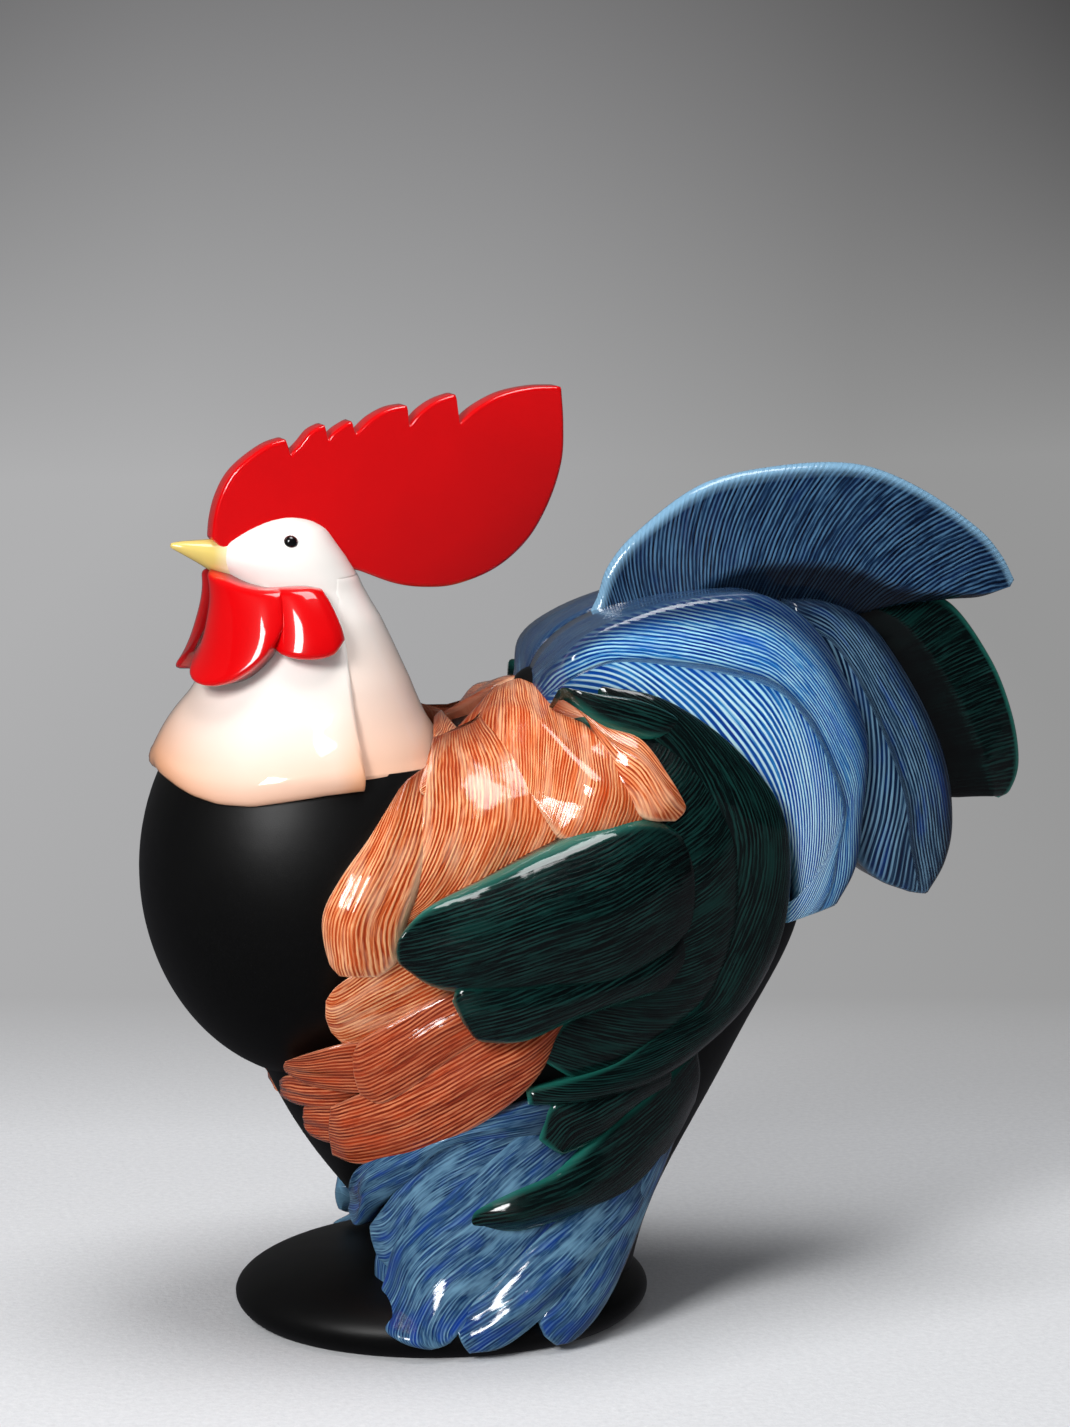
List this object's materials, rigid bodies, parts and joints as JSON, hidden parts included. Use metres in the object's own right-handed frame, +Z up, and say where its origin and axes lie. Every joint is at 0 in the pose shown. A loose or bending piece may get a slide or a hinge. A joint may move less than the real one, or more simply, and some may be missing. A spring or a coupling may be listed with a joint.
{
  "type": "rooster figurine",
  "caption": "Standing ceramic rooster ornament on an oval foot, with carved feather relief, a toothed comb, wattles, a collar-like neck cape and an upswept tail.",
  "frame": {"origin": "centre of the foot's flat underside, on the table", "axes": "+Z up, -X the way the rooster faces, -Y its left side; the figure's middle plane is XZ"},
  "size_m": [0.3044, 0.1662, 0.309],
  "materials": {
    "black_slip": "matte black engobe",
    "white_glaze": "gloss white glaze, peach at its edges",
    "yellow_glaze": "gloss pale yellow glaze",
    "bead_glaze": "gloss black glaze",
    "red_glaze": "gloss red glaze",
    "orange_glaze": "gloss orange glaze, darker in the carved grooves",
    "green_glaze": "gloss very dark green glaze",
    "blue_glaze": "gloss pale blue glaze, cobalt in the carved grooves",
    "dark_blue_glaze": "gloss blue glaze, navy in the carved grooves"
  },
  "bodies": {
    "root": {"beak": "yellow_glaze", "belly_lower_feather_left": "orange_glaze", "belly_lower_feather_right": "orange_glaze", "belly_upper_feather_left": "orange_glaze", "belly_upper_feather_right": "orange_glaze", "body": "black_slip", "breast": "black_slip", "breast_side_feather_left": "orange_glaze", "breast_side_feather_right": "orange_glaze", "breast_tips_left": "orange_glaze", "breast_tips_right": "orange_glaze", "comb": "red_glaze", "eyes": "bead_glaze", "foot": "black_slip", "head_and_bib": "white_glaze", "leg_front_feather_left": "blue_glaze", "leg_front_feather_right": "blue_glaze", "leg_long_feather_left": "blue_glaze", "leg_long_feather_right": "blue_glaze", "leg_middle_feather_left": "blue_glaze", "leg_middle_feather_right": "blue_glaze", "leg_rear_feather_left": "blue_glaze", "leg_rear_feather_right": "blue_glaze", "leg_side_feather_left": "blue_glaze", "leg_side_feather_right": "blue_glaze", "leg_upper_feather_left": "blue_glaze", "leg_upper_feather_right": "blue_glaze", "nape": "white_glaze", "ring_inner_feather_left": "green_glaze", "ring_inner_feather_right": "green_glaze", "ring_outer_feather_left": "green_glaze", "ring_outer_feather_right": "green_glaze", "saddle_feather_left": "green_glaze", "saddle_feather_right": "green_glaze", "shoulder_broad_feather_left": "orange_glaze", "shoulder_broad_feather_right": "orange_glaze", "shoulder_edge_feather_left": "orange_glaze", "shoulder_edge_feather_right": "orange_glaze", "shoulder_small_feather_left": "orange_glaze", "shoulder_small_feather_right": "orange_glaze", "tail_inner_feather_left": "blue_glaze", "tail_inner_feather_right": "blue_glaze", "tail_outer_feather_left": "blue_glaze", "tail_outer_feather_right": "blue_glaze", "tail_rear_feather": "green_glaze", "tail_top_feather": "dark_blue_glaze", "thigh_lower_feather_left": "green_glaze", "thigh_lower_feather_right": "green_glaze", "thigh_upper_feather_left": "green_glaze", "thigh_upper_feather_right": "green_glaze", "wattle_left": "red_glaze", "wattle_right": "red_glaze", "wing_front_feather_left": "orange_glaze", "wing_front_feather_right": "orange_glaze", "wing_long_feather_left": "green_glaze", "wing_long_feather_right": "green_glaze", "wing_middle_feather_left": "orange_glaze", "wing_middle_feather_right": "orange_glaze", "wing_short_feather_left": "green_glaze", "wing_short_feather_right": "green_glaze"}
  },
  "joints": []
}
